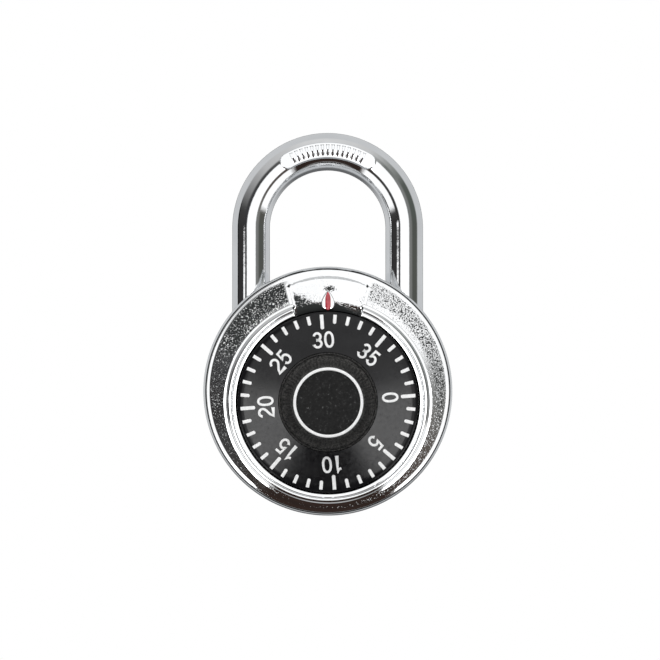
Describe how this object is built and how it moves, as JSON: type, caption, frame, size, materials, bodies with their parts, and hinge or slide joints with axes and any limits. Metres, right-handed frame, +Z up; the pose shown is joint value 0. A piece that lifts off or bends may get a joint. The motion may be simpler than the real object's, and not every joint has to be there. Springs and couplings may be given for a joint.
{
  "type": "combination padlock",
  "caption": "Round chromed combination padlock with a numbered black dial and knob, a lifting round-bar shackle and a working wheel pack, locking lever and latch inside.",
  "frame": {"origin": "inside top of the shackle's bow, on the shackle's centre plane: the point the lock hangs from", "axes": "+Z up along the shackle's legs, +X to the right as the user sees the dial, -Y out of the dial towards the user"},
  "size_m": [0.048, 0.0267, 0.0742],
  "materials": {
    "case_chrome": "bright chrome plate on drawn steel",
    "cover_chrome": "bright chrome with a fine frosted band and index panel",
    "shackle_chrome": "bright chrome plate on hardened steel",
    "red_enamel": "satin red enamel",
    "dial_black": "gloss black",
    "knob_black": "matt black with a fine grain",
    "ring_white": "white paint",
    "plate_steel": "zinc plated sheet steel",
    "turned_steel": "turned steel",
    "lever_steel": "stamped steel, tumbled",
    "spring_steel": "oiled spring steel",
    "bush_brass": "turned brass",
    "wheel_brass": "stamped brass"
  },
  "bodies": {
    "lock_case": {"rear_case": "case_chrome", "front_cover": "cover_chrome", "index_mark": "red_enamel", "front_plate": "plate_steel", "rear_plate": "plate_steel", "plate_posts": "turned_steel", "spindle_bearing": "bush_brass", "heel_guide": "bush_brass", "toe_guide": "bush_brass", "lever_post": "turned_steel", "latch_post": "turned_steel", "lever_spring": "spring_steel", "latch_spring": "spring_steel", "wheel_spring": "spring_steel"},
    "dial": {"dial_disc": "dial_black", "knob": "knob_black", "knob_ring": "ring_white", "spindle": "turned_steel", "drive_cam": "wheel_brass", "wheel_spacers": "turned_steel", "tension_washer": "spring_steel", "spindle_clip": "spring_steel"},
    "middle_wheel": {"middle_wheel": "wheel_brass"},
    "rear_wheel": {"rear_wheel": "wheel_brass"},
    "shackle": {"shackle": "shackle_chrome", "heel_collar": "bush_brass"},
    "locking_lever": {"locking_lever": "lever_steel"},
    "latch": {"latch": "lever_steel"}
  },
  "joints": [
    {"name": "dial_spin", "type": "hinge", "parent": "lock_case", "child": "dial", "pos_m": [0, 0, -0.045], "axis": [0, -1, 0], "continuous": true},
    {"name": "middle_wheel_turn", "type": "hinge", "parent": "dial", "child": "middle_wheel", "pos_m": [0, 0, -0.045], "axis": [0, -1, 0], "range_deg": [-151, 180]},
    {"name": "rear_wheel_turn", "type": "hinge", "parent": "middle_wheel", "child": "rear_wheel", "pos_m": [0, 0, -0.045], "axis": [0, -1, 0], "range_deg": [-331, 0]},
    {"name": "shackle_lift", "type": "slide", "parent": "lock_case", "child": "shackle", "axis": [0, 0, 1], "range_m": [0, 0.012]},
    {"name": "latch_swing", "type": "hinge", "parent": "lock_case", "child": "latch", "pos_m": [-0.014, 0, -0.0439], "axis": [0, 1, 0], "range_deg": [0, 19], "deforming": ["latch_spring"]},
    {"name": "lever_swing", "type": "hinge", "parent": "lock_case", "child": "locking_lever", "pos_m": [0.00767, 0, -0.03306], "axis": [0, -1, 0], "range_deg": [0, 10], "deforming": ["lever_spring"]}
  ],
  "couplings": [
    {"joint": "latch_swing", "follows": "shackle_lift", "rad_per_m": 27.5}
  ]
}
